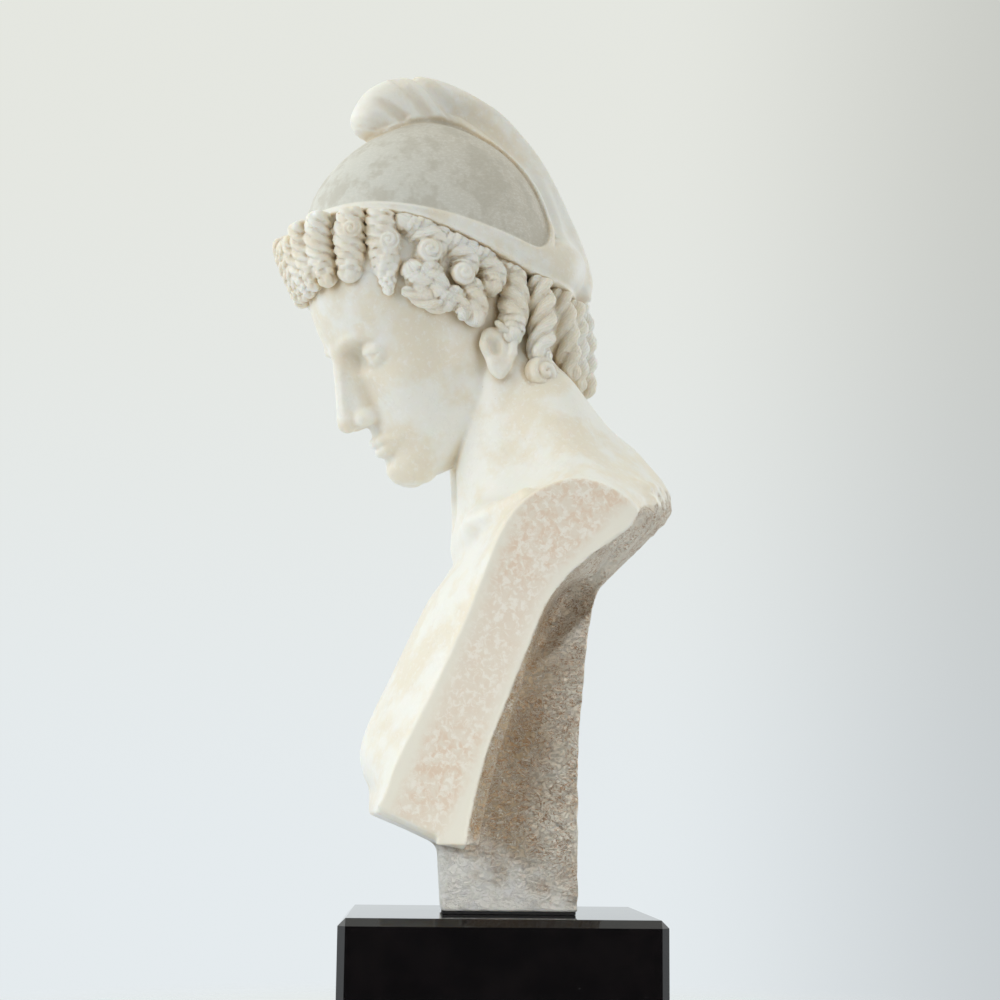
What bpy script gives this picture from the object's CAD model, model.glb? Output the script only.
"""The marble bust as a finished object: marble, black stone plinth and fixings, in a pale studio.

Sculpted surfaces are worked out in millimetres as signed distances (negative inside the stone),
turned into meshes with a surface net, and then placed in the frame in metres.
"""

import math

import bmesh
import bpy
import numpy as np
from mathutils import Matrix, Vector


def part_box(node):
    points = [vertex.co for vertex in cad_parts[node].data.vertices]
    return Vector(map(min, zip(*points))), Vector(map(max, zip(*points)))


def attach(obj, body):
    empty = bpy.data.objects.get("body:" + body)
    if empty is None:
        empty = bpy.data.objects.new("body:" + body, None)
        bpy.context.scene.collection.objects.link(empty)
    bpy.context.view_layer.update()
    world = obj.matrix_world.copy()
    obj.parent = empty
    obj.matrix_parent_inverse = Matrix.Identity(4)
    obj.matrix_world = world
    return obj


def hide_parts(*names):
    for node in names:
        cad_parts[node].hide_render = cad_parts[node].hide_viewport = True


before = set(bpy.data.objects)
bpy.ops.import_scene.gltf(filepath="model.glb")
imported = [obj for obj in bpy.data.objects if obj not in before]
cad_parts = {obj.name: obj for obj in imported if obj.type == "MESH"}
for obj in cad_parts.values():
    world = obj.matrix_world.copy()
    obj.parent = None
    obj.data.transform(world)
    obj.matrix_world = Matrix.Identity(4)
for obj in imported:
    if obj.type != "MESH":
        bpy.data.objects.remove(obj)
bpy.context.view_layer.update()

FACE_LIMIT, CAP_FACE_LIMIT = 195_000, 110_000
# Spacing of the grids that the shapes are meshed on, and their margin, in millimetres.
BODY_STEP, CAP_STEP, HAIR_STEP = ((1.5, 1.5, 1.0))
MARGIN = 6.0

# Driving sizes in millimetres, from the CAD frame.
BUST_LOW, BUST_HIGH = (np.array(corner) * 1000 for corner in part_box("marble_bust"))
BASE = BUST_LOW[2]
SHOULDER_HALF = BUST_HIGH[0]
HEM_HALF = SHOULDER_HALF - 15
HEM_ROUND = 5.0

# The head's own frame: centre between the ears at eye level, turned to its left and bowed.
HEAD_CENTRE = np.array((-7.0, -64.0, 618.0))
HEAD_TURN = math.radians(20)
HEAD_BOW = math.radians(28)


# ---------------------------------------------------------------- signed distances


def smooth_min(a, b, k):
    h = np.maximum(k - np.abs(a - b), 0.0) / k
    return np.minimum(a, b) - h * h * k * 0.25


def smooth_max(a, b, k):
    return -smooth_min(-a, -b, k)


def ball(p, centre, radius):
    return np.linalg.norm(p - np.asarray(centre, np.float32), axis=1) - radius


def ellipsoid(p, centre, radii):
    q = p - np.asarray(centre, np.float32)
    r = np.asarray(radii, np.float32)
    k0 = np.linalg.norm(q / r, axis=1)
    k1 = np.linalg.norm(q / (r * r), axis=1) + 1e-9
    return k0 * (k0 - 1.0) / k1


def oval(x, y, a, b):
    """Distance to an ellipse whose half axes may differ from point to point."""
    k0 = np.sqrt((x / a) ** 2 + (y / b) ** 2)
    k1 = np.sqrt((x / a**2) ** 2 + (y / b**2) ** 2) + 1e-9
    return k0 * (k0 - 1.0) / k1


def rod(p, a, b, ra, rb):
    """A round rod from a to b that tapers from one radius to the other."""
    a, b = np.asarray(a, np.float32), np.asarray(b, np.float32)
    along = b - a
    h = np.clip((p - a) @ along / (along @ along), 0.0, 1.0)
    return np.linalg.norm(p - a - h[:, None] * along, axis=1) - (ra + (rb - ra) * h)


def chain(p, points, radii, k=0.0):
    d = None
    for a, b, ra, rb in zip(points, points[1:], radii, radii[1:]):
        piece = rod(p, a, b, ra, rb)
        d = piece if d is None else (smooth_min(d, piece, k) if k else np.minimum(d, piece))
    return d


def folded(p, axis):
    """The points mirrored onto the positive half of an axis."""
    q = p.copy()
    q[:, axis] = np.abs(q[:, axis])
    return q


def spline(stops, per_span=24):
    """A smooth curve through (place, value) stops, as dense arrays for np.interp."""
    stops = np.array(stops, float)
    x, y = stops[:, 0], stops[:, 1]
    slope = np.gradient(y, x)
    xs, ys = [], []
    for i in range(len(x) - 1):
        h = x[i + 1] - x[i]
        t = np.linspace(0, 1, per_span, endpoint=False)
        h00, h10 = 2 * t**3 - 3 * t**2 + 1, t**3 - 2 * t**2 + t
        h01, h11 = -2 * t**3 + 3 * t**2, t**3 - t**2
        xs.append(x[i] + t * h)
        ys.append(h00 * y[i] + h10 * h * slope[i] + h01 * y[i + 1] + h11 * h * slope[i + 1])
    return np.append(np.concatenate(xs), x[-1]), np.append(np.concatenate(ys), y[-1])


def at(curve, place):
    return np.interp(place, curve[0], curve[1]).astype(np.float32)


def step_up(low, high, x):
    t = np.clip((x - low) / (high - low), 0.0, 1.0)
    return t * t * (3 - 2 * t)


def lookup(table, q, wrap=None):
    """A table's values at fractional places, blended along every axis.

    With wrap, the table repeats after that many steps, and the blend is smooth instead of linear.
    """
    cell = np.floor(q).astype(np.int32)
    t = (q - cell).astype(np.float32)
    if wrap:
        t = t * t * (3 - 2 * t)
    out = np.zeros(len(q), np.float32)
    for corner in np.ndindex(*[2] * q.shape[1]):
        weight = np.prod(np.where(corner, t, 1 - t), axis=1)
        near = cell + corner
        out += weight * table[tuple((near % wrap if wrap else near).T)]
    return out


NOISE_CELLS = 32
LATTICE = np.random.default_rng(7).random([NOISE_CELLS] * 3).astype(np.float32) * 2 - 1


def noise(p, size):
    """Smooth random values from -1 to 1 with lumps about as wide as size."""
    return lookup(LATTICE, p / size, NOISE_CELLS)


# ---------------------------------------------------------------- meshing


def every_step(counts):
    """Every whole-number place in a box of so many steps along each axis."""
    grid = np.meshgrid(*[np.arange(n) for n in counts], indexing="ij")
    return np.stack(grid, -1).reshape(-1, len(counts))


class Grid:
    """Values of a field at the points of a box, exact near its surface.

    The box is worked out in blocks, many at a time, and only blocks near the surface in full.
    """

    BLOCK, BATCH = 8, 700
    FAR = 99.0

    def __init__(self, field, low, high, step):
        self.low, self.step = np.array(low, float), step
        blocks = np.ceil((np.array(high) - self.low) / (step * self.BLOCK)).astype(int)
        size = blocks * self.BLOCK
        centre = every_step(blocks)
        middle = (centre + 0.5) * self.BLOCK * step + self.low
        rough = field(middle.astype(np.float32))
        reach = self.BLOCK * step * 0.87 * 1.6
        near = np.abs(rough) < reach
        fill = np.where(rough < 0, -reach, reach).astype(np.float32)
        data = np.repeat(fill[:, None], self.BLOCK**3, axis=1)
        inner = every_step([self.BLOCK] * 3)
        which = np.nonzero(near)[0]
        for start in range(0, len(which), self.BATCH):
            some = which[start : start + self.BATCH]
            points = (centre[some][:, None, :] * self.BLOCK + inner[None]) * step + self.low
            found = field(points.reshape(-1, 3).astype(np.float32))
            data[some] = found.reshape(len(some), -1)
        data = data.reshape(*blocks, *[self.BLOCK] * 3).transpose(0, 3, 1, 4, 2, 5)
        self.values = np.ascontiguousarray(data.reshape(size))

    def sample(self, p):
        """Trilinear values at points in millimetres; far outside the box it is large."""
        q = (p - self.low) / self.step
        top = np.array(self.values.shape) - 1.001
        inside = np.all((q >= 0) & (q <= top), axis=1)
        q = np.clip(q, 0, top)
        return np.where(inside, lookup(self.values, q), self.FAR)

    def net(self):
        """(points, quads) of the surface where the field is zero."""
        v = self.values
        inside = v < 0
        corners = [(i, j, k) for i in (0, 1) for j in (0, 1) for k in (0, 1)]
        nx, ny, nz = (n - 1 for n in v.shape)
        count = np.zeros((nx, ny, nz), np.uint8)
        for i, j, k in corners:
            count += inside[i : i + nx, j : j + ny, k : k + nz]
        active = (count > 0) & (count < 8)
        cells = np.argwhere(active)
        number = np.full(active.shape, -1, np.int32)
        number[active] = np.arange(len(cells))
        held = np.stack([v[tuple((cells + c).T)] for c in corners], 1)
        total = np.zeros((len(cells), 3))
        hits = np.zeros(len(cells))
        for a in range(8):
            for b in range(a + 1, 8):
                ca, cb = np.array(corners[a]), np.array(corners[b])
                if np.abs(ca - cb).sum() != 1:
                    continue
                va, vb = held[:, a], held[:, b]
                crosses = (va < 0) != (vb < 0)
                t = np.where(crosses, va / np.where(va == vb, 1, va - vb), 0)
                total += np.where(crosses[:, None], ca + t[:, None] * (cb - ca), 0)
                hits += crosses
        points = (cells + total / hits[:, None]) * self.step + self.low
        quads = [self._wall(inside, number, axis) for axis in range(3)]
        return points, np.concatenate(quads)

    @staticmethod
    def _wall(inside, number, axis):
        one, two = (axis + 1) % 3, (axis + 2) % 3
        first = [slice(1, -1)] * 3
        first[axis] = slice(0, -1)
        second = list(first)
        second[axis] = slice(1, None)
        a, b = inside[tuple(first)], inside[tuple(second)]
        found = np.argwhere(a != b)
        leaving = a[tuple(found.T)]
        found[:, one] += 1
        found[:, two] += 1
        ring = []
        for i, j in ((-1, -1), (0, -1), (0, 0), (-1, 0)):
            cell = found.copy()
            cell[:, one] += i
            cell[:, two] += j
            ring.append(number[tuple(cell.T)])
        ring = np.stack(ring, 1)
        ring[~leaving] = ring[~leaving][:, ::-1]
        return ring


def mesh_of(name, points, faces):
    """A Blender mesh in metres from points in millimetres and triangles or quads."""
    mesh = bpy.data.meshes.new(name)
    mesh.vertices.add(len(points))
    mesh.vertices.foreach_set("co", (points / 1000).astype(np.float32).ravel())
    sides = faces.shape[1]
    mesh.loops.add(faces.size)
    mesh.loops.foreach_set("vertex_index", faces.astype(np.int32).ravel())
    mesh.polygons.add(len(faces))
    mesh.polygons.foreach_set("loop_start", np.arange(0, faces.size, sides, dtype=np.int32))
    mesh.update(calc_edges=True)
    mesh.validate()
    mesh.shade_smooth()
    return mesh


def link(name, data):
    obj = bpy.data.objects.new(name, data)
    bpy.context.scene.collection.objects.link(obj)
    return obj


def drop_crumbs(mesh, least=60):
    """Deletes repeated faces and loose islands of only a few faces, which thinning can leave."""
    mesh.validate()
    bm = bmesh.new()
    bm.from_mesh(mesh)
    left = set(bm.faces)
    crumbs = []
    while left:
        island = [left.pop()]
        for face in island:
            near = {other for edge in face.edges for other in edge.link_faces} & left
            left -= near
            island += near
        if len(island) < least:
            crumbs += island
    bmesh.ops.delete(bm, geom=crumbs, context="FACES")
    bm.to_mesh(mesh)
    bm.free()


def carve(name, grid, limit):
    """The grid's surface as an object with no more than limit triangles."""
    points, quads = grid.net()
    obj = link(name, mesh_of(name, points, quads))
    triangles = 2 * len(quads)
    if triangles > limit:
        reduce = obj.modifiers.new("reduce", "DECIMATE")
        reduce.ratio = limit / triangles
        graph = bpy.context.evaluated_depsgraph_get()
        smaller = bpy.data.meshes.new_from_object(obj.evaluated_get(graph))
        obj.modifiers.clear()
        obj.data = smaller
        obj.data.name = name
        obj.data.shade_smooth()
    drop_crumbs(obj.data)
    return obj


def vectors(items, key):
    """A row of three numbers for each item of a mesh."""
    out = np.empty(len(items) * 3, np.float32)
    items.foreach_get(key, out)
    return out.reshape(-1, 3)


def paint(obj, name, values):
    layer = obj.data.attributes.new(name, "FLOAT", "POINT")
    layer.data.foreach_set("value", np.asarray(values, np.float32))


# ---------------------------------------------------------------- chest shell, pillar and neck

# Outlines of the chest shell in (Y, Z): hem, chest, top, back edge, and down the hollow behind.
MIDDLE_OUTLINE = (
    (-107, 199), (-108, 216), (-113, 240), (-112, 254), (-102, 283), (-88, 320), (-74, 352),
    (-59, 381), (-46, 400), (-24, 420), (20, 455), (66, 498), (104, 510), (124, 492), (136, 474),
    (134, 458), (116, 438), (88, 412), (45, 378), (20, 330), (2, 284), (-12, 250), (-26, 205),
    (-31, 172), (-53, 176), (-78, 187),
)
SIDE_OUTLINE = (
    (-97, 200), (-91, 212), (-81, 233), (-74, 247), (-55, 288), (-42, 320), (-30, 352),
    (-20, 383), (-10, 413), (4, 436), (24, 452), (47, 460), (64, 459), (80, 453), (92, 445),
    (101, 434), (88, 417), (63, 399), (34, 370), (16, 330), (-2, 284), (-15, 250), (-26, 205),
    (-31, 172), (-53, 180), (-78, 191),
)
CORNERS = (0, 15, 23, 26)
BACK_EDGE = range(13, 18)
HEM = (23, 24, 25, 0)


def smooth_run(points, per_span=4):
    """Catmull-Rom points along an open run, ends kept sharp."""
    p = np.vstack([2 * points[0] - points[1], points, 2 * points[-1] - points[-2]])
    out = []
    for i in range(1, len(p) - 2):
        for t in np.arange(per_span) / per_span:
            a = 2 * p[i]
            b = (p[i + 1] - p[i - 1]) * t
            c = (2 * p[i - 1] - 5 * p[i] + 4 * p[i + 1] - p[i + 2]) * t * t
            d = (3 * p[i] - p[i - 1] - 3 * p[i + 1] + p[i + 2]) * t**3
            out.append((a + b + c + d) / 2)
    return out


def shell_outline(share):
    """The shell's outline in (Y, Z) at a share of its half width."""
    middle, side = np.array(MIDDLE_OUTLINE, float), np.array(SIDE_OUTLINE, float)
    blend = np.full(len(middle), share**2.2)
    blend[8:18] = share
    p = middle + (side - middle) * blend[:, None]
    x = SHOULDER_HALF * share
    for i in BACK_EDGE:
        p[i, 0] += 10 * math.exp(-(((x - 85) / 40) ** 2))
    over = max(0.0, x - (HEM_HALF - HEM_ROUND)) / HEM_ROUND
    for i in HEM:
        p[i, 1] += HEM_ROUND * (1 - math.sqrt(max(0.0, 1 - over * over)))
    closed = np.vstack([p, p[:1]])
    out = []
    for a, b in zip(CORNERS, CORNERS[1:]):
        out += smooth_run(closed[a : b + 1])
    return np.array(out)


def polygon_distance(y, z, corners):
    """Signed distance to a closed outline."""
    d = np.full(y.shape, 1e9)
    sign = np.ones(y.shape)
    for (ay, az), (by, bz) in zip(corners, np.roll(corners, 1, axis=0)):
        ey, ez = by - ay, bz - az
        wy, wz = y - ay, z - az
        t = np.clip((wy * ey + wz * ez) / (ey * ey + ez * ez + 1e-12), 0, 1)
        d = np.minimum(d, (wy - ey * t) ** 2 + (wz - ez * t) ** 2)
        above, below, left = z >= az, z < bz, ey * wz > ez * wy
        sign = np.where((above & below & left) | (~above & ~below & ~left), -sign, sign)
    return sign * np.sqrt(d)


def outline_table(outline, low, count, step):
    """An outline's signed distance at the points of a grid in its plane."""
    x, y = (low[k] + np.arange(count[k]) * step for k in (0, 1))
    return polygon_distance(*np.meshgrid(x, y, indexing="ij"), outline).astype(np.float32)


class Shell:
    """The chest shell's field, tabulated once over share, Y and Z."""

    STATIONS, STEP = 20, 2.5
    LOW, COUNT = np.array((-160.0, 150.0)), (136, 160)

    def __init__(self):
        shares = np.arange(self.STATIONS + 1) / self.STATIONS
        self.table = np.stack([
            outline_table(shell_outline(share), self.LOW, self.COUNT, self.STEP)
            for share in shares
        ])

    def __call__(self, p):
        share = np.clip(np.abs(p[:, 0]) / SHOULDER_HALF, 0, 1) * self.STATIONS
        y = (p[:, 1] - self.LOW[0]) / self.STEP
        z = (p[:, 2] - self.LOW[1]) / self.STEP
        beyond = np.zeros(len(p), np.float32)
        for axis, q in ((0, y), (1, z)):
            top = self.COUNT[axis] - 1.001
            beyond += np.maximum(np.maximum(-q, q - top), 0) * self.STEP
            np.clip(q, 0, top, out=q)
        share = np.minimum(share, self.STATIONS - 0.001)
        return lookup(self.table, np.stack((share, y, z), 1)) + beyond


def side_plane(p):
    """Distance beyond the flat cut at each arm."""
    half = HEM_HALF + (SHOULDER_HALF - HEM_HALF) * np.clip((p[:, 2] - 200) / 200, 0, 1)
    return np.abs(p[:, 0]) - half


def chest_relief(p):
    """How far the muscles of the chest swell the plain shell."""
    x, y, z = np.abs(p[:, 0]), p[:, 1], p[:, 2]
    front = step_up(30, -10, y - (z - 320) * 0.45)
    breast = 6.5 * np.exp(-(((x - 60) / 44) ** 2) - ((z - 268) / 44) ** 2)
    fold = -2.5 * np.exp(-(((x - 62) / 46) ** 2) - ((z - 219) / 7) ** 2)
    furrow = -3.0 * np.exp(-((x / 9) ** 2)) * step_up(225, 260, z) * step_up(410, 360, z)
    return (breast + fold + furrow) * front


# Where the sawn side ends at the back: Y by height, from the hem up to the shoulder's edge.
REAR_EDGE = spline(
    ((150, -31), (172, -31), (205, -26), (250, -15), (284, -2), (330, 16), (370, 34), (399, 63),
     (417, 88), (434, 101), (450, 116))
)


def rear_bevel(p):
    """A narrow rough bevel down the back of each sawn side."""
    y, z = p[:, 1], p[:, 2]
    past = (y - at(REAR_EDGE, z)) * 0.92
    beyond = side_plane(p)
    deep = 1 + 9 * step_up(372, 240, z)
    slab = np.maximum.reduce([past - deep, -20 - past, beyond, -26 - beyond, z - 380, 176 - z])
    return smooth_max(slab, (beyond + past) * 0.707, 1.0)


PILLAR_FRONT = spline(((115, -47), (190, -50), (270, -35), (330, -8), (375, 8), (450, 26)))
PILLAR_BACK = spline(
    ((115, 63), (195, 62.5), (266, 63.5), (300, 65.5), (338, 68.5), (362, 72), (390, 75.5),
     (420, 90), (450, 108))
)
PILLAR_HALF = spline(
    ((115, 50), (260, 50), (300, 52.5), (340, 60), (375, 75), (410, 97), (450, 120))
)


def pillar(p):
    x, y, z = np.abs(p[:, 0]), p[:, 1], p[:, 2]
    back, front = at(PILLAR_BACK, z), at(PILLAR_FRONT, z)
    scoop = 9 * np.exp(-(((y - 8) / 26) ** 2)) * step_up(165, 230, z)
    sides = x - (at(PILLAR_HALF, z) - scoop)
    d = smooth_max(sides, smooth_max(y - back, front - y, 3.0), 3.0)
    chip = (x - 50) * 0.62 + (front - y) * 0.78 + 1.0 + (z - 124) * 0.16
    chip = np.where(p[:, 0] > 0, chip, -50)
    d = smooth_max(d, chip + noise(p, 9.0) * 0.4, 1.0)
    return np.maximum(d, z - 452)


NECK_FRONT = spline(
    ((395, -27), (425, -32), (452, -36), (478, -39), (503, -40), (530, -40), (575, -50), (640, -62))
)
NECK_BACK = spline(
    ((395, 80), (425, 112), (452, 139), (478, 136), (503, 115), (530, 91), (548, 76), (562, 62),
     (600, 34), (640, 8))
)
NECK_HALF = spline(
    ((395, 112), (425, 118), (452, 104), (478, 82), (503, 66), (530, 55), (560, 46), (600, 38),
     (640, 32))
)


def neck(p):
    y, z = p[:, 1], p[:, 2]
    front, back = at(NECK_FRONT, z), at(NECK_BACK, z)
    d = oval(p[:, 0], y - (front + back) / 2, at(NECK_HALF, z), (back - front) / 2)
    d = d * 0.85
    return smooth_max(d, smooth_max(z - 632, 400 - z, 8.0), 8.0)


def head_axes():
    """Rows that point forward, to the left and up in the bowed and turned head."""
    flat = np.array((math.sin(HEAD_TURN), -math.cos(HEAD_TURN), 0.0))
    up = np.array((0.0, 0.0, 1.0))
    forward = flat * math.cos(HEAD_BOW) - up * math.sin(HEAD_BOW)
    crown = flat * math.sin(HEAD_BOW) + up * math.cos(HEAD_BOW)
    return np.stack((forward, np.cross(crown, forward), crown))


HEAD_AXES = head_axes()


def to_head(p):
    """The points in the head's own frame."""
    return ((p - HEAD_CENTRE) @ HEAD_AXES.T).astype(np.float32)


def to_left_head(p):
    """The points in the head's own frame, mirrored onto its left half."""
    return folded(to_head(p), 1)


def from_head(q):
    return np.asarray(q, float) @ HEAD_AXES + HEAD_CENTRE


def torso(p, shell):
    """The shell with its muscles, the pillar and the neck."""
    z = p[:, 2]
    q = folded(p, 0)
    d = shell(p) - chest_relief(p)
    # Collar bones, neck, shoulder muscles, the two straps of the throat and the notch between.
    d = smooth_min(d, rod(q, (16, -31, 421), (68, -24, 434), 6.0, 6.0), 12.0)
    d = smooth_min(d, rod(q, (68, -24, 434), (124, 14, 449), 6.0, 6.5), 12.0)
    d = smooth_min(d, neck(p), 24.0)
    d = smooth_min(d, rod(q, (28, 36, 548), (112, 62, 438), 20.0, 17.0), 30.0)
    left, right = (
        rod(q, from_head((-20, 58 * side, -66)) * (side, 1, 1), (17, -30, 428), 13.0, 8.0)
        for side in (1, -1)
    )
    d = smooth_min(d, np.where(p[:, 0] > 0, left, right), 16.0)
    d = smooth_max(d, -ball(p, (0, -44, 427), 9.0), 14.0)
    # The back: rough bevels, the flat cuts at the arms, the pillar and the broken edge.
    d = smooth_min(d, rear_bevel(p) + noise(p, 6.0) * 0.5, 3.0)
    d = smooth_max(d, side_plane(p), 2.5)
    d = smooth_min(d, pillar(p), 10.0 + 18.0 * step_up(240, 320, z))
    rough = step_up(470, 440, z) * step_up(-6, 8, p[:, 1] - (z - 205) * 0.42 + 10)
    torn = step_up(98, 118, p[:, 1]) * step_up(484, 466, z)
    d = d + rough * (noise(p, 14.0) * 0.9 + noise(p, 5.0) * 0.5) + torn * noise(p, 8.0) * 2.0
    return np.maximum(d, BASE - z)


# ---------------------------------------------------------------- head

# Height above the eye line, with the reach to the front, half width and reach to the back.
HEAD_LEVELS = (
    (-120, 58, 15, 6), (-113, 78, 27, 10), (-102, 87, 40, 14), (-88, 87, 50, 18),
    (-74, 90, 55, 24), (-58, 88, 60, 44), (-40, 85, 66, 74), (-20, 84, 69, 90), (0, 87, 72, 97),
    (15, 91, 74, 100), (40, 92, 75, 101), (66, 86, 73, 98), (90, 68, 62, 82), (112, 26, 26, 40),
)
HEAD_FRONT, HEAD_SIDE, HEAD_REAR = (
    spline([(level[0], level[k]) for level in HEAD_LEVELS]) for k in (1, 2, 3)
)


def skull(q):
    f, l, u = q.T
    reach = np.where(f > 0, at(HEAD_FRONT, u), at(HEAD_REAR, u))
    d = oval(f, l, reach, at(HEAD_SIDE, u)) * 0.9
    brow = 3.5 * np.exp(-(((l - 26) / 17) ** 2) - ((u - 15 + (l - 26) ** 2 * 0.006) / 6) ** 2)
    cheek = 3.5 * np.exp(-(((l - 45) / 16) ** 2) - ((u + 32) / 15) ** 2)
    d = d - (brow + cheek) * step_up(10, 50, f)
    d = smooth_max(d, -(u + 119), 12.0)
    return smooth_max(d, u - 104, 12.0)


def nose(q):
    d = rod(q, (87, 0, 10), (106, 0, -40), 6.6, 7.4)
    d = smooth_min(d, rod(q, (80, 0, 4), (93, 0, -43), 9.0, 12.5), 5.0)
    d = smooth_min(d, ball(q, (107.5, 0, -46.5), 8.4), 5.0)
    return smooth_min(d, ellipsoid(q, (95, 12.0, -49), (10, 5.8, 7)), 4.0)


def lips(q):
    upper = chain(q, ((91.5, 0, -72), (89.0, 11, -71.5), (79, 25, -76)), (4.4, 3.8, 1.2), 3.0)
    lower = chain(q, ((90.5, 0, -81), (87.5, 10, -80.5), (79, 23, -77)), (5.0, 4.4, 1.2), 3.0)
    return smooth_min(upper, lower, 1.5)


def eyelids(q):
    """Half-lowered lids round the blank eyeball."""
    across, height = q[:, 1] - 31, q[:, 2] + 3.5
    upper = 2.6 - 0.020 * across**2 + 0.02 * across
    lower = -5.4 + 0.022 * across**2 + 0.02 * across
    opening = np.minimum(upper - height, height - lower)
    return smooth_max(ball(q, EYE, 14.3), opening, 0.9)


EYE = (66.0, 31.0, -3.0)


def ear(q):
    """The lower part of the ear; a lock of hair covers the top."""
    rim = chain(
        q,
        ((-22, 80, -24), (-27, 82, -34), (-28, 82, -44), (-23, 81, -53), (-14, 79, -60),
         (-6, 77, -64)),
        (2.6, 3.0, 3.2, 3.4, 3.6, 3.6), 2.0,
    )
    plate = ellipsoid(q, (-14, 75, -44), (14, 6.0, 20))
    lobe = ellipsoid(q, (-6, 77, -57), (8, 5.5, 10))
    d = smooth_min(smooth_min(rim, plate, 3.5), lobe, 4.0)
    d = smooth_max(d, -ellipsoid(q, (-11, 84, -40), (7.5, 10.0, 10.0)), 2.0)
    fold = chain(q, ((-21, 84, -28), (-22.5, 84, -38), (-19, 83.5, -47)), (1.8, 2.2, 1.6))
    d = smooth_max(d, -fold, 2.5)
    return smooth_min(d, ellipsoid(q, (-4, 76, -38), (3.5, 5.0, 6.5)), 2.5)


def head(p):
    q = to_left_head(p)
    d = skull(q)
    d = smooth_min(d, ellipsoid(q, (74, 0, -101), (17, 20, 15)), 12.0)
    d = smooth_min(d, rod(q, (8, 45, -74), (68, 14, -108), 11.0, 11.0), 14.0)
    d = smooth_max(d, -ellipsoid(q, (84, 30, -2), (13, 20, 12)), 9.0)
    d = smooth_max(d, -ellipsoid(q, (86, 16, -1), (9, 8, 8)), 7.0)
    d = smooth_min(d, nose(q), 8.0)
    d = smooth_max(d, -ellipsoid(q, (96, 6.0, -58.5), (6.5, 3.0, 4.0)), 2.0)
    d = smooth_min(d, lips(q), 3.5)
    line = chain(q, ((96.3, 0, -76.8), (93, 12, -76), (84, 26, -77.5)), (1.3, 1.2, 0.9))
    d = smooth_max(d, -line, 1.6)
    d = smooth_max(d, -rod(q, (92.5, 0, -61), (96.5, 0, -67), 2.0, 2.0), 3.0)
    d = smooth_max(d, -ellipsoid(q, (96, 0, -90.5), (9, 15, 4.5)), 6.0)
    d = smooth_min(d, ball(q, EYE, 12.6), 0.6)
    d = smooth_min(d, eyelids(q), 2.6)
    return smooth_min(d, ear(q), 2.5)


def body_field(shell):
    def field(p):
        d = torso(p, shell)
        high = p[:, 2] > 440
        d[high] = smooth_min(d[high], head(p[high]), 4.0)
        return d

    return field


# ---------------------------------------------------------------- cap

# The crest seen from the side: over the bulb at the tip, down the back, and inside the dome.
CREST_OUTLINE = (
    (-15, 188), (-19, 198), (-38, 211), (-62, 215), (-87, 210), (-102, 203), (-121, 188),
    (-141, 166), (-153, 148), (-161, 127), (-168, 102), (-171, 73), (-171, 40), (-170, 12),
    (-166, -14), (-159, -29), (-146, -35), (-110, -20), (-95, 40), (-84, 105), (-58, 146),
    (-30, 166), (-18, 178),
)
# The greyish side panel, also seen from the side, and the height of the cap's lower edge.
PANEL_OUTLINE = (
    (-27, 171), (-60, 170), (-86, 164), (-104, 152), (-116, 132), (-124, 108), (-128, 82),
    (-127, 58), (-122, 38), (-112, 26), (-99, 21), (-86, 26), (-60, 46), (-20, 79), (30, 112),
    (60, 128), (84, 150), (50, 190), (0, 190),
)
RIM = spline(
    ((-172, -38), (-150, -39), (-133, -36), (-116, -28), (-99, -15), (-73, 5), (-50, 28),
     (-26, 54), (-4, 75), (38, 106), (72, 124))
)


class Flat:
    """A closed outline's signed distance, tabulated in the head's median plane."""

    LOW, STEP, COUNT = np.array((-190.0, -60.0)), 1.5, (200, 200)

    def __init__(self, outline):
        ring = np.array(outline, float)
        closed = smooth_run(np.vstack([ring[-1:], ring, ring[:2]]))[4:-4]
        self.table = outline_table(np.array(closed), self.LOW, self.COUNT, self.STEP)

    def __call__(self, x, y):
        x = np.clip((x - self.LOW[0]) / self.STEP, 0, self.COUNT[0] - 1.001)
        y = np.clip((y - self.LOW[1]) / self.STEP, 0, self.COUNT[1] - 1.001)
        return lookup(self.table, np.stack((x, y), 1))


crest_side = Flat(CREST_OUTLINE)
panel_side = Flat(PANEL_OUTLINE)


def dome(q):
    d = ellipsoid(q, (-42, 0, 58), (103, 86, 115))
    d = smooth_min(d, ellipsoid(q, (8, 0, 84), (64, 74, 68)), 30.0)
    return smooth_min(d, ellipsoid(q, (-102, 0, 0), (56, 60, 36)), 26.0)


# Folds pressed into the soft tip: where they run and how deep they are.
TIP_FOLDS = (
    (((-82, 0, 214), (-86, 11, 210), (-90, 19, 201), (-93, 23, 191), (-97, 24, 178),
      (-101, 22, 160)), (6.8, 7.6, 8.2, 8.8, 9.6, 9.2)),
    (((-66, 10, 214), (-68, 23, 203), (-71, 27, 188), (-75, 26, 170)), (4.6, 5.6, 6.2, 6.8)),
    (((-34, 22, 203), (-43, 26, 190), (-53, 24, 174)), (4.6, 5.8, 6.2)),
)


def crest(q):
    """A keel that is narrow along its back, spreads towards the dome and ends in a folded tip."""
    f, l, u = q[:, 0], np.abs(q[:, 1]), q[:, 2]
    edge = crest_side(f, u)
    depth = np.clip(-edge, 0, 60)
    low = step_up(160, 60, u)
    past_fold = f - (-91 + 0.2 * (u - 194))
    tip = 0.78 * step_up(-75, 0, past_fold) + 0.22 * step_up(-1.5, 1.5, past_fold)
    tip = tip * step_up(150, 175, u)
    width = 10 + (0.08 + 0.24 * low) * depth + (0.0015 + 0.0100 * low) * depth**2
    width = width * (1 - tip) + 22 * tip
    d = smooth_max(edge, (l - width) * 0.9, 9 + 17 * tip)
    for places, sizes in TIP_FOLDS:
        d = smooth_max(d, -chain(q, places, sizes), 2.0)
    return d


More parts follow.
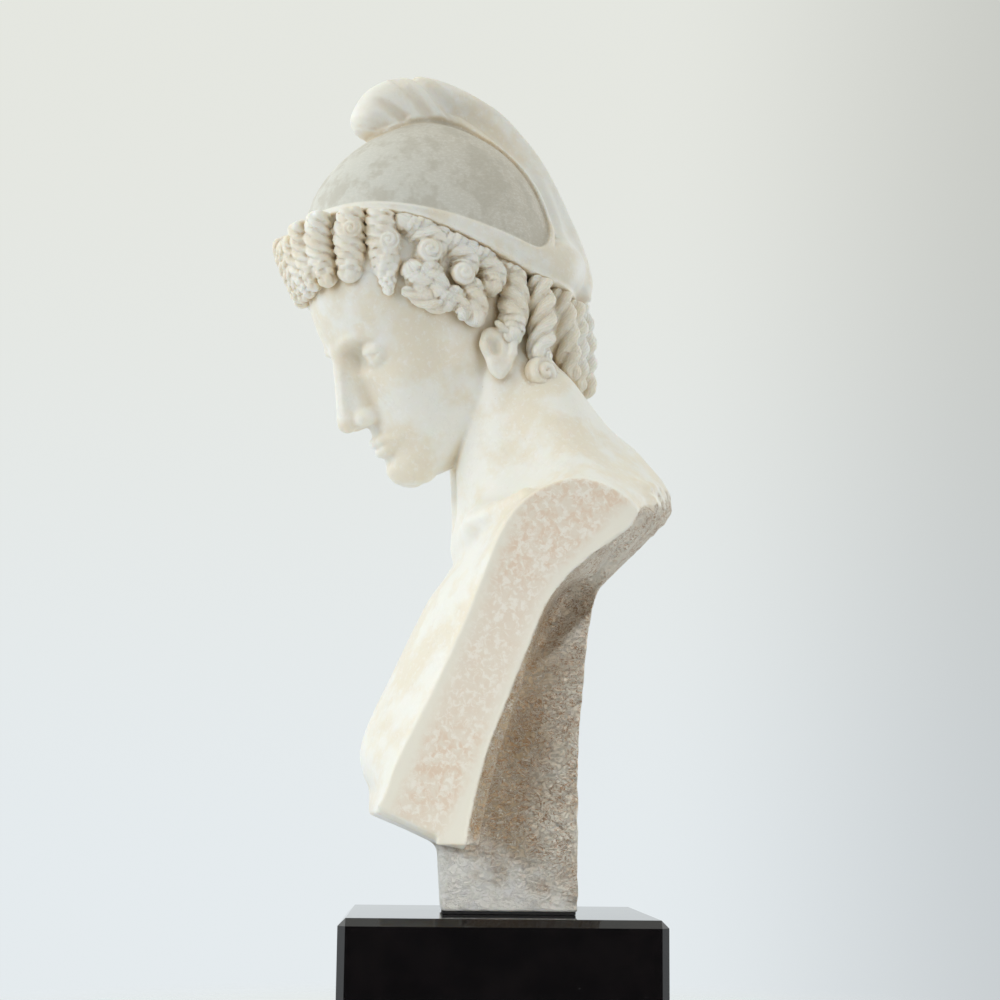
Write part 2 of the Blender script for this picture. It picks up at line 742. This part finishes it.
def behind_panel(f, u):
    """1 on the crest's side behind the panel, where a ledge runs."""
    return step_up(-92, -108, f) * step_up(14, 26, u)


def cap(p):
    q = to_left_head(p)
    f, u = q[:, 0], q[:, 2]
    panel = panel_side(f, u)
    above = u - at(RIM, f)
    sunk = (0.9 + 2.2 * step_up(-70, -108, f)) * step_up(1.2, -1.6, panel)
    sunk = sunk - 0.8 * np.exp(-(((panel - 2.4) / 1.4) ** 2))
    sunk = sunk * step_up(2.0, 8.0, above)
    brim = 2.2 * np.exp(-(((above - 2.5) / 3.0) ** 2))
    body = smooth_min(dome(q), crest(q), 5.0)
    d = body + np.where(panel < 12, sunk, 0) - brim
    # A ledge runs along the crest's side and opens into a shallow hollow above the nape.
    hollow = 4.6 + 3.2 * step_up(95, 50, u)
    ledge = hollow * step_up(6.4, 8.4, panel) * step_up(27, 11, panel)
    return smooth_max(d + ledge * behind_panel(f, u), -above, 3.0)


# ---------------------------------------------------------------- hair

HAIRLINE = spline(
    ((-150, -96), (-62, -92), (-48, -40), (-28, -22), (0, -14), (22, 2), (46, 36), (72, 52),
     (104, 62))
)


def hair_base(q):
    """The ground under the curls."""
    f, u = q[:, 0], q[:, 2]
    front = ellipsoid(q, (-8, 0, 52), (96, 78, 76))
    front = smooth_max(front, at(HAIRLINE, f) - u, 9.0)
    front = smooth_max(front, -(f + 64), 8.0)
    back = ellipsoid(q, (-72, 0, -38), (55, 61, 62))
    back = smooth_max(smooth_max(back, -(u + 92 + 0.25 * (f + 70)), 6.0), f + 40, 8.0)
    return smooth_min(front, back, 6.0)


def ribbon(phase, lean=1.45):
    """A rounded ribbon between sharp grooves, fuller towards its far edge, once per turn."""
    w = np.mod(phase / (2 * math.pi), 1.0)
    return np.sin(math.pi * w**lean) ** 0.85 - 0.62


def outwards(point):
    """The way straight out of the head at a point, level with the ground of the hair."""
    way = np.array(((point[0] + 8) / 108**2, point[1] / 88**2, 0.0))
    return way / np.linalg.norm(way)


class Lock:
    """A twisted roll of hair whose outer side runs through the points."""

    def __init__(self, points, radii, spacing, starts, hand, depth, sunk=1.0):
        points = np.array(points, float)
        points = points - sunk * np.array(radii)[:, None] * np.array([outwards(p) for p in points])
        run = smooth_run(np.column_stack((points, radii)), 3)
        run.append(np.append(points[-1], radii[-1]))
        run = np.array(run)
        self.path, self.radii = run[:, :3], run[:, 3]
        self.spacing, self.starts, self.hand, self.depth = spacing, starts, hand, depth
        self.middle = (self.path.min(0) + self.path.max(0)) / 2
        self.reach = np.abs(self.path - self.middle).max() + max(radii) + 6
        self.outward = outwards(self.middle)

    def __call__(self, q):
        best = np.full(len(q), 1e9)
        length, past, turn = np.zeros(len(q)), np.zeros(len(q)), np.zeros(len(q))
        run = 0.0
        for a, b, ra, rb in zip(self.path, self.path[1:], self.radii, self.radii[1:]):
            along = b - a
            size = np.linalg.norm(along)
            share = (q - a) @ along / size**2
            h = np.clip(share, 0, 1)
            r = q - a - h[:, None] * along
            far = np.linalg.norm(r, axis=1) - ra - (rb - ra) * h
            over = np.abs(share - h) * size / (ra + (rb - ra) * h)
            out = self.outward - along * (self.outward @ along) / size**2
            out = out / np.linalg.norm(out)
            side = np.cross(along / size, out)
            closer = far < best
            best = np.where(closer, far, best)
            length = np.where(closer, run + h * size, length)
            turn = np.where(closer, np.arctan2(r @ side, r @ out), turn)
            past = np.where(closer, over, past)
            run += size
        phase = self.starts * self.hand * turn + 2 * math.pi * length / self.spacing
        depth = self.depth * step_up(0.95, 0.35, past)
        return (best - depth * ribbon(phase)) * 0.85, phase


class Volute:
    """The round spiral end of a curl; its face stands at the given point."""

    def __init__(self, centre, size, thick, spacing, hand=1, depth=1.8):
        self.out = outwards(centre)
        self.middle = np.array(centre, float) - (thick - 1.5) * self.out
        self.size, self.thick = size, thick
        self.spacing, self.hand, self.depth = spacing, hand, depth
        self.reach = size + thick + 4
        self.across = np.cross(self.out, (0, 0, 1.0))
        self.up = np.cross(self.across, self.out)

    def __call__(self, q):
        r = q - self.middle
        x, y, z = r @ self.across, r @ self.up, r @ self.out
        d = ellipsoid(np.stack((x, y, z), 1), (0, 0, 0), (self.size, self.size, self.thick))
        rho = np.hypot(x, y)
        phase = self.hand * np.arctan2(y, x) + 2 * math.pi * rho / self.spacing
        return (d - self.depth * ribbon(phase, 1.0)) * 0.85, phase


def left_locks():
    """The curls of the left side: fringe, temple, ear lock and the corkscrews behind the ear."""
    rope = (9.0, 4, 1, 2.7)
    comma = (16, 3, 1, 3.0)
    corkscrew = (18.5, 3, -1, 5.0)
    fringe = (
        ((95, 9, 112), (97, 8, 94), (97, 7, 80), (96, 6, 69)), (8, 10.5, 10, 6.5),
        ((90, 29, 119), (94, 26, 100), (95, 25, 84), (95, 23, 71)), (9, 11, 10.5, 6.5),
        ((76, 50, 120), (84, 45, 104), (88, 41, 86), (89, 41, 69)), (10, 11.5, 11.5, 7.5),
        ((52, 73, 112), (63, 66, 94), (69, 61, 78), (74, 57, 66)), (11, 13, 12, 9.5),
        ((31, 82, 101), (39, 79, 80), (45, 77, 62), (50, 74, 46), (53, 73, 37)), (12, 14.5, 12, 7, 4),
    )
    made = [Lock(points, radii, *rope) for points, radii in zip(fringe[::2], fringe[1::2])]
    commas = (
        ((13, 86, 86), (3, 88, 74), (0, 89, 60), (10, 89, 50)), (11, 14, 14, 10),
        ((-10, 88, 62), (-20, 88, 48), (-21, 88, 34), (-11, 90, 25)), (10, 13, 13, 9),
        ((-32, 87, 43), (-42, 85, 30), (-43, 85, 16), (-34, 87, 6)), (9, 12, 12.5, 9),
        ((16, 88, 40), (13, 88, 30), (16, 88, 18), (12, 88, 8)), (8, 10, 9.5, 7),
        ((-15, 88, 12), (-13, 89, 0), (-6, 89, -12)), (9, 10.5, 9),
        ((4, 88, 14), (2, 88, 4), (4, 88, -6)), (6, 7.5, 6),
        ((28, 84, 44), (27, 85, 33), (26, 85, 22)), (10, 12, 10.5),
        ((41, 79, 31), (32, 83, 19), (24, 85, 11), (14, 86, 5)), (4, 6.5, 7, 5),
        ((-61, 78, 22), (-64, 78, 7), (-56, 81, -10), (-44, 85, -25), (-32, 88, -38)),
        (8.5, 11.5, 13, 12.5, 9),
    )
    made += [Lock(points, radii, *comma) for points, radii in zip(commas[::2], commas[1::2])]
    screws = (
        ((-86, 65, 0), (-75, 68, -21), (-62, 72, -44), (-47, 78, -62)), (9, 11, 11, 10),
        ((-107, 48, -14), (-96, 52, -42), (-86, 55, -64), (-75, 58, -87)), (9, 10.5, 11, 9),
        ((-124, 29, -26), (-114, 30, -52), (-104, 30, -72), (-92, 30, -98)), (9, 10.5, 11, 9),
        ((-136, 10, -38), (-129, 10, -60), (-119, 10, -80), (-107, 10, -106)), (9, 10.5, 11, 9),
    )
    made += [Lock(points, radii, *corkscrew, 0.0) for points, radii in zip(screws[::2], screws[1::2])]
    return made + [
        Volute((58, 71, 97), 7.5, 6, 4.2),
        Volute((36, 81, 75), 8.5, 6, 4.4),
        Volute((9, 90, 54), 11, 7, 5.5),
        Volute((-10, 91, 25), 10, 7, 5.5),
        Volute((-41, 88, -79), 16.5, 10, 7.5, -1, 2.8),
    ]


LOCKS = left_locks()
# Fine strands are this wide, and only the wide ribbons of the larger curls have them.
STRAND, WIDE_RIBBON = 2.6, 10


def hair(p):
    q = to_left_head(p).astype(float)
    d = hair_base(q.astype(np.float32)).astype(float)
    for lock in LOCKS:
        near = np.abs(q - lock.middle).max(1) < lock.reach
        if near.any():
            d[near] = smooth_min(d[near], lock(q[near])[0], 1.0)
    return smooth_max(d, q[:, 2] - at(RIM, q[:, 0]) - 1.5, 5.0)


def strands(points):
    """The sine and cosine of the nearest curl's ribbon phase, for fine grooves in the finish."""
    q = to_left_head(points).astype(float)
    best = np.full(len(q), 3.0)
    phase, count = np.zeros(len(q)), np.zeros(len(q))
    for lock in LOCKS:
        near = np.nonzero(np.abs(q - lock.middle).max(1) < lock.reach)[0]
        d, turn = lock(q[near])
        d = np.abs(d)
        closer = d < best[near]
        best[near[closer]] = d[closer]
        phase[near[closer]] = turn[closer]
        count[near[closer]] = round(lock.spacing / STRAND) * (lock.spacing > WIDE_RIBBON)
    return np.sin(phase), np.cos(phase), count * (best < 3.0)


# ---------------------------------------------------------------- build

low, high = BUST_LOW - MARGIN, BUST_HIGH + MARGIN
body_grid = Grid(body_field(Shell()), low, (high[0], high[1], 735), BODY_STEP)
body = carve("bust_body", body_grid, FACE_LIMIT)
cap_grid = Grid(cap, (-110, -200, 600), (110, 130, high[2]), CAP_STEP)
bust_cap = carve("bust_cap", cap_grid, CAP_FACE_LIMIT)
hair_grid = Grid(hair, (-125, -205, 520), (125, 130, 790), HAIR_STEP)
bust_hair = carve("bust_hair", hair_grid, FACE_LIMIT)


def crevice(points, normals, reach):
    """0 on open stone, up to 1 deep in a fold: how much other stone is near, straight out."""
    ahead = points + normals * reach
    clear = np.minimum.reduce([grid.sample(ahead) for grid in (body_grid, cap_grid, hair_grid)])
    return np.clip(1.0 - clear / reach - 0.14, 0.0, 1.0)


def rough_share(points, normals):
    """1 on the roughly dressed stone: the pillar, the hollow and under the back's edge."""
    y, z = points[:, 1], points[:, 2]
    behind = step_up(-1.5, 1.0, y - at(REAR_EDGE, z)) * step_up(447, 441, z)
    below = step_up(190, 184, z) * step_up(-60, -50, y)
    under = step_up(84, 94, y) * step_up(0.25, -0.05, normals[:, 2]) * step_up(480, 470, z)
    share = np.maximum.reduce([behind, below * (np.abs(points[:, 0]) < 62), under])
    return share * step_up(-0.3, -1.6, side_plane(points))


def paint_body(points, normals):
    """Masks for the rough stone, the sawn sides and the hollow beside the pillar."""
    y, z = points[:, 1], points[:, 2]
    paint(body, "dressed", rough_share(points, normals))
    flat = step_up(-2.2, -0.8, side_plane(points)) * step_up(0.75, 0.95, np.abs(normals[:, 0]))
    paint(body, "sawn", flat * (z < 475))
    ahead = at(PILLAR_BACK, z) - y
    paint(body, "recess", step_up(6.0, 46.0, ahead - 12 * step_up(270, 210, z)))


def paint_cap(points, normals):
    """Masks for the side panel, the crest's creases and the way to the back."""
    local = to_left_head(points)
    f, u = local[:, 0], local[:, 2]
    edge = panel_side(f, u)
    creases = [step_up(2.4, -0.8, chain(local, places, sizes)) for places, sizes in TIP_FOLDS]
    creases.append(np.exp(-(((edge - 8.4) / 1.7) ** 2)) * behind_panel(f, u))
    paint(bust_cap, "crease", np.maximum.reduce(creases))
    paint(bust_cap, "panel", step_up(0.8, -0.8, edge) * step_up(3.0, 7.0, u - at(RIM, f)))
    paint(bust_cap, "rearward", step_up(40.0, -120.0, f))


def paint_hair(points, normals):
    """The ribbon phase and the number of strands in each ribbon."""
    for key, values in zip(("strand_sine", "strand_cosine", "strand_count"), strands(points)):
        paint(bust_hair, key, values)


for piece, paint_own in ((body, paint_body), (bust_cap, paint_cap), (bust_hair, paint_hair)):
    points = vectors(piece.data.vertices, "co") * 1000
    normals = vectors(piece.data.vertex_normals, "vector")
    paint(piece, "fold", crevice(points, normals, 3.5))
    paint(piece, "shelter", crevice(points, normals, 10.0))
    paint_own(points, normals)


# ---------------------------------------------------------------- materials


class Nodes:
    """A node tree built by short calls; every call returns the node's output."""

    def __init__(self, tree):
        self.tree = tree

    def add(self, kind, inputs=None, output=0, **settings):
        node = self.tree.nodes.new(kind)
        for key, value in settings.items():
            setattr(node, key, value)
        for key, value in (inputs or {}).items():
            self.put(node.inputs[key], value)
        return node.outputs[output]

    def put(self, socket, value):
        if isinstance(value, bpy.types.NodeSocket):
            self.tree.links.new(value, socket)
        else:
            socket.default_value = value

    def ramp(self, value, low, high, start=0.0, end=1.0):
        inputs = {
            "Value": value, "From Min": low, "From Max": high, "To Min": start, "To Max": end,
        }
        return self.add("ShaderNodeMapRange", inputs, interpolation_type="SMOOTHSTEP")

    def math(self, kind, a, b=0.0):
        return self.add("ShaderNodeMath", {0: a, 1: b}, operation=kind)

    def times(self, first, *others):
        for other in others:
            first = self.math("MULTIPLY", first, other)
        return first

    def off(self, value, middle):
        """How far a value is from the middle, either way."""
        return self.math("ABSOLUTE", self.math("SUBTRACT", value, middle))

    def mix(self, share, a, b):
        """A colour between a and b."""
        node = self.tree.nodes.new("ShaderNodeMix")
        node.data_type = "RGBA"
        self.put(node.inputs["Factor"], share)
        colours = [i for i in node.inputs if i.type == "RGBA"]
        for socket, value in zip(colours, (a, b)):
            self.put(socket, value if isinstance(value, bpy.types.NodeSocket) else (*value, 1.0))
        return [o for o in node.outputs if o.type == "RGBA"][0]

    def blend(self, share, a, b):
        """A plain number between a and b."""
        return self.add("ShaderNodeMix", {"Factor": share, "A": a, "B": b}, data_type="FLOAT")


class Shader(Nodes):
    """A material with one Principled shader; its textures are measured in metres."""

    def __init__(self, name):
        self.material = bpy.data.materials.new(name)
        self.material.use_nodes = True
        super().__init__(self.material.node_tree)
        self.base = self.tree.nodes["Principled BSDF"]

    def set(self, **values):
        for key, value in values.items():
            self.put(self.base.inputs[key.replace("_", " ")], value)

    def place(self, stretch=(1, 1, 1)):
        where = self.add("ShaderNodeTexCoord", output="Object")
        return self.add("ShaderNodeMapping", {"Vector": where, "Scale": stretch})

    def axis(self, letter):
        return self.add("ShaderNodeSeparateXYZ", {0: self.place()}, letter)

    def noise(self, size, detail=3.0, roughness=0.55, stretch=(1, 1, 1), distortion=0.0):
        """Noise whose lumps are about size wide."""
        inputs = {
            "Vector": self.place(stretch), "Scale": 1 / size, "Detail": detail,
            "Roughness": roughness, "Distortion": distortion,
        }
        return self.add("ShaderNodeTexNoise", inputs)

    def cells(self, size):
        inputs = {"Vector": self.place(), "Scale": 1 / size}
        return self.add("ShaderNodeTexVoronoi", inputs, "Distance")

    def vertex(self, name):
        return self.add("ShaderNodeAttribute", output="Fac", attribute_name=name)

    def bump(self, height, distance, normal=None):
        inputs = {"Height": height, "Distance": distance}
        if normal:
            inputs["Normal"] = normal
        return self.add("ShaderNodeBump", inputs)


def polished_skin(m):
    """Cream with cloudy warm patches, faint veins, paler crystals and a few brown specks."""
    cloud = m.ramp(m.noise(0.050, 4.0, 0.6), 0.41, 0.60)
    colour = m.mix(cloud, (0.88, 0.868, 0.815), (0.835, 0.775, 0.655))
    vein = m.off(m.noise(0.09, 6.0, 0.62, distortion=0.6), 0.5)
    colour = m.mix(m.ramp(vein, 0.012, 0.0, 0.0, 0.10), colour, (0.62, 0.60, 0.58))
    flake = m.ramp(m.noise(0.0045, 4.0, 0.7), 0.52, 0.66, 0.0, 0.40)
    colour = m.mix(flake, colour, (0.93, 0.925, 0.90))
    speck = m.ramp(m.noise(0.0022, 2.0, 0.5), 0.70, 0.76, 0.0, 0.25)
    return m.mix(speck, colour, (0.55, 0.45, 0.33))


def cap_panel(m):
    """The cap's side panel: greyer, browner towards the back, and scuffed."""
    grey = m.mix(m.vertex("rearward"), (0.68, 0.68, 0.625), (0.60, 0.55, 0.46))
    scuff = m.ramp(m.noise(0.0035, 5.0, 0.75, (1, 1, 2.0)), 0.47, 0.60, 0.0, 0.55)
    grey = m.mix(scuff, grey, (0.75, 0.735, 0.68))
    shade = m.ramp(m.noise(0.022, 4.0, 0.6), 0.44, 0.60, 0.0, 0.50)
    return m.mix(shade, grey, (0.49, 0.455, 0.375))


def band_shares(m):
    """How far inside the sawn band a point is, and how stained: most near its top and its foot."""
    height = m.axis("Z")
    past_front = m.math("ADD", m.math("ADD", m.axis("Y"), m.times(height, -0.40)), 0.176)
    widening = m.times(m.math("MAXIMUM", m.math("SUBTRACT", height, 0.38), 0.0), -0.6)
    to_rear = m.math("ADD", past_front, widening)
    inner = m.times(m.ramp(past_front, 0.002, 0.020), m.ramp(to_rear, 0.062, 0.046))
    ends = [
        m.ramp(m.off(height, middle), reach, 0.3 * reach)
        for middle, reach in ((0.420, 0.065), (0.234, 0.048))
    ]
    stained = m.ramp(m.math("MAXIMUM", *ends), 0.0, 1.0, 0.25, 1.0)
    return inner, m.times(stained, inner)


def sawn_side(m):
    """The flat cut at each arm: cream margins, with pale crystals and soft peach blotches."""
    crystal = m.ramp(m.noise(0.0050, 4.0, 0.65, distortion=0.6), 0.46, 0.62)
    inner, stained = band_shares(m)
    colour = m.mix(inner, (0.83, 0.80, 0.715), (0.785, 0.715, 0.615))
    blotch = m.ramp(m.noise(0.0085, 4.0, 0.6, distortion=0.4), 0.40, 0.64, 0.0, 0.80)
    colour = m.mix(m.times(blotch, stained), colour, (0.735, 0.585, 0.45))
    return m.mix(m.times(crystal, inner, 0.60), colour, (0.905, 0.885, 0.83))


def soiled(m, colour, fold, shelter):
    """The colour under the dirt and white crust that settle in folds and sheltered places."""
    grime = m.times(m.ramp(fold, 0.05, 0.75), m.ramp(m.noise(0.006, 3.0), 0.2, 0.6), 0.80)
    colour = m.mix(grime, colour, (0.60, 0.45, 0.27))
    colour = m.mix(m.ramp(shelter, 0.10, 0.90, 0.0, 0.55), colour, (0.78, 0.67, 0.49))
    crease = m.times(m.vertex("crease"), m.ramp(m.noise(0.02, 3.0), 0.35, 0.60, 0.10, 0.50))
    colour = m.mix(crease, colour, (0.70, 0.60, 0.45))
    grains = m.ramp(m.noise(0.0028, 3.0, 0.7), 0.60, 0.70)
    crust = m.times(m.ramp(shelter, 0.08, 0.30), grains, 0.6)
    return m.mix(crust, colour, (0.92, 0.91, 0.88))


def dressed_stone(m):
    """Roughly dressed stone, its pale curls and its cleaner foot: (colour, curls, foot)."""
    drift = m.ramp(m.noise(0.022, 4.0, 0.65), 0.25, 0.75, -0.016, 0.016)
    level = m.math("ADD", m.math("ADD", m.axis("Z"), m.times(m.axis("Y"), 0.38)), drift)
    foot = m.ramp(level, 0.184, 0.136)
    curls = m.ramp(m.off(m.noise(0.0085, 3.0, 0.6, (1, 1, 1.7), 1.6), 0.5), 0.045, 0.012)
    worms = m.ramp(m.off(m.noise(0.0100, 3.0, 0.6, (1, 1, 1.8), 2.2), 0.5), 0.045, 0.015)
    rust = m.times(worms, m.ramp(m.noise(0.014, 3.0, 0.6), 0.38, 0.52), 0.85)
    patch = m.ramp(m.noise(0.028, 3.0), 0.35, 0.65)
    outer = m.mix(patch, (0.74, 0.67, 0.57), (0.80, 0.755, 0.67))
    deep = m.mix(patch, (0.47, 0.36, 0.235), (0.56, 0.465, 0.35))
    ground = m.mix(m.vertex("recess"), outer, deep)
    ground = m.mix(m.times(curls, 0.75), ground, (0.86, 0.82, 0.75))
    ground = m.mix(rust, ground, (0.40, 0.22, 0.10))
    clean = m.mix(m.times(curls, 0.4), (0.91, 0.90, 0.86), (0.94, 0.94, 0.92))
    bluish = m.ramp(m.noise(0.016, 3.0), 0.50, 0.68, 0.0, 0.5)
    clean = m.mix(bluish, clean, (0.78, 0.78, 0.80))
    return m.mix(foot, ground, clean), curls, foot


def fine_relief(m, dressed, curls, foot):
    """Relief too fine for the mesh: strands in the curls, point marks, a waxy unevenness."""
    phase = m.math("ARCTAN2", m.vertex("strand_sine"), m.vertex("strand_cosine"))
    groove = m.math("COSINE", m.times(phase, m.vertex("strand_count")))
    strand = m.bump(groove, 0.00015)
    rough = m.times(dressed, m.ramp(foot, 0.0, 1.0, 1.0, 0.25))
    marks = m.times(m.math("ADD", curls, m.cells(0.005)), rough)
    return m.bump(m.noise(0.014, 3.0, 0.5), 0.0002, m.bump(marks, 0.0014, strand))


def carved_marble():
    m = Shader("carved_marble")
    fold, shelter = m.vertex("fold"), m.vertex("shelter")
    dressed, sawn, panel = m.vertex("dressed"), m.vertex("sawn"), m.vertex("panel")
    colour = m.mix(panel, polished_skin(m), cap_panel(m))
    colour = m.mix(sawn, colour, sawn_side(m))
    colour = soiled(m, colour, fold, shelter)
    stone, curls, foot = dressed_stone(m)
    polish = m.blend(dressed, m.blend(panel, 0.30, 0.48), 0.85)
    dull = m.math("MAXIMUM", m.math("MAXIMUM", dressed, sawn), panel)
    m.set(
        Base_Color=m.mix(dressed, colour, stone),
        Roughness=m.math("ADD", polish, m.times(fold, 0.4)),
        Normal=fine_relief(m, dressed, curls, foot),
        Subsurface_Weight=m.blend(dull, 0.45, 0.08),
        Subsurface_Radius=(1.0, 0.78, 0.52), Subsurface_Scale=0.006,
    )
    return m.material


marble = carved_marble()
for piece in (body, bust_cap, bust_hair):
    piece.data.materials.append(marble)
    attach(piece, "root")
    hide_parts("marble_bust")


def black_stone():
    m = Shader("polished_black_stone")
    cloud = m.ramp(m.noise(0.04, 5.0, 0.7), 0.4, 0.7)
    colour = m.mix(cloud, (0.0035, 0.003, 0.0035), (0.007, 0.0055, 0.006))
    glint = m.ramp(m.cells(0.030), 0.026, 0.016, 0.0, 0.8)
    smear = m.ramp(m.noise(0.05, 4.0, 0.6, (1, 0.5, 2.0)), 0.5, 0.8, 0.035, 0.09)
    m.set(Base_Color=m.mix(glint, colour, (0.45, 0.45, 0.47)), Roughness=smear, IOR=1.65)
    return m.material


def soft_black(name, colour, size, depth):
    """Felt or rubber: a fine fibrous grain over a near-black ground."""
    m = Shader(name)
    grain = m.noise(size, 4.0, 0.7, (1, 1, 3))
    lighter = tuple(c * 2.2 for c in colour)
    m.set(
        Base_Color=m.mix(m.ramp(grain, 0.4, 0.7), colour, lighter), Roughness=0.9,
        Normal=m.bump(grain, depth),
    )
    return m.material


def turned_steel():
    m = Shader("turned_steel")
    lines = m.noise(0.0006, 3.0, 0.7, (0.05, 0.05, 1.0))
    m.set(
        Base_Color=m.mix(m.ramp(lines, 0.3, 0.7), (0.50, 0.50, 0.51), (0.66, 0.66, 0.67)),
        Roughness=m.ramp(lines, 0.3, 0.7, 0.22, 0.38), Metallic=1.0,
        Normal=m.bump(lines, 0.00003),
    )
    return m.material


def dress(material, *nodes):
    for node in nodes:
        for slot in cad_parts[node].material_slots:
            slot.material = material


dress(black_stone(), "plinth")
dress(soft_black("black_packing", (0.012, 0.012, 0.013), 0.002, 0.0001), "foot_pad")
dress(soft_black("wool_felt", (0.010, 0.010, 0.011), 0.0012, 0.0004), "underside_felt")
dress(
    turned_steel(), "anchor_sleeve", "mounting_bolt", "bolt_washer", "lock_washer",
    "locating_pin_front", "locating_pin_rear",
)
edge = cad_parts["plinth"].modifiers.new("worn_edge", "BEVEL")
edge.width = 0.0006
edge.segments = 2
edge.limit_method = "ANGLE"

# ---------------------------------------------------------------- studio


def studio_world():
    """A pale backdrop, brighter to the left and above, with a dim room behind the camera."""
    world = bpy.data.worlds.new("studio")
    bpy.context.scene.world = world
    world.use_nodes = True
    m = Nodes(world.node_tree)
    way = m.add("ShaderNodeTexCoord", output="Generated")
    x, y, z = (m.add("ShaderNodeSeparateXYZ", {0: way}, axis) for axis in "XYZ")
    seen = m.ramp(y, 0.10, 0.33, 0.965, 0.70)
    lit = m.times(
        m.ramp(x, 0.72, 0.93, 1.0, 0.03), m.ramp(y, -0.9, 0.9, 1.12, 0.84),
        m.ramp(z, -0.6, 0.8, 0.85, 1.1),
    )
    direct = m.add("ShaderNodeLightPath", output="Is Camera Ray")
    back = m.tree.nodes["Background"]
    tint = m.mix(m.ramp(z, -0.05, 0.38), (0.81, 0.86, 0.885), (0.81, 0.825, 0.775))
    m.put(back.inputs["Color"], tint)
    m.put(back.inputs["Strength"], m.blend(direct, lit, seen))


def soft_box(name, place, target, size, energy, colour, spread=180):
    lamp = bpy.data.lights.new(name, "AREA")
    lamp.spread = math.radians(spread)
    lamp.size, lamp.energy, lamp.color = size, energy, colour
    lamp.shape = "DISK"
    obj = link(name, lamp)
    obj.location = place
    aim = Vector(target) - Vector(place)
    obj.rotation_euler = aim.to_track_quat("-Z", "Y").to_euler()


def studio_floor():
    """A pale floor that fades out a little way from the plinth."""
    mesh = bpy.data.meshes.new("floor")
    bm = bmesh.new()
    bmesh.ops.create_circle(bm, cap_ends=True, segments=96, radius=2.0)
    bm.to_mesh(mesh)
    bm.free()
    floor = link("floor", mesh)
    m = Shader("pale_floor")
    where = m.add("ShaderNodeTexCoord", output="Object")
    far = m.add("ShaderNodeVectorMath", {0: where}, "Value", operation="LENGTH")
    m.set(Base_Color=m.mix(m.ramp(m.noise(0.3), 0.3, 0.7), (0.80, 0.82, 0.83), (0.83, 0.85, 0.86)))
    m.set(Alpha=m.ramp(far, 0.35, 0.85, 1.0, 0.0), Roughness=0.9)
    mesh.materials.append(m.material)


studio_world()
studio_floor()
centre = (0, 0, 0.5)
soft_box("left_window", (-0.4, -2.2, 1.4), centre, 1.6, 6, (0.93, 0.97, 1.0))
soft_box("right_window", (-1.2, 2.0, 1.2), centre, 1.6, 5, (0.96, 0.98, 1.0))
soft_box("front_left", (1.4, -1.7, 1.2), centre, 1.5, 11, (1.0, 0.985, 0.96))
soft_box("front_right", (1.8, 1.3, 0.35), (0, 0, 0.25), 1.3, 5, (1.0, 0.98, 0.95))
soft_box("low_fill", (1.9, 0.9, 0.30), (0.05, 0.02, 0.20), 0.4, 0.17, (1.0, 0.97, 0.93), 22)
bpy.context.scene.view_settings.view_transform = "Standard"

# The camera stands at the bust's side, a little above the plinth's top, and looks up.
CAMERA_PLACE = (1.659, -0.069, 0.194)
YAW, PITCH, ROLL = math.radians(2.33), math.radians(9.3), math.radians(0.6)
LENS, SENSOR = 70.67, 36
view = bpy.data.cameras.new("camera")
view.lens, view.sensor_width = LENS, SENSOR
camera = link("camera", view)
bpy.context.scene.camera = camera
camera.matrix_world = (
    Matrix.Translation(CAMERA_PLACE)
    @ Matrix.Rotation(math.radians(90) - YAW, 4, "Z")
    @ Matrix.Rotation(math.radians(90) + PITCH, 4, "X")
    @ Matrix.Rotation(ROLL, 4, "Z")
)
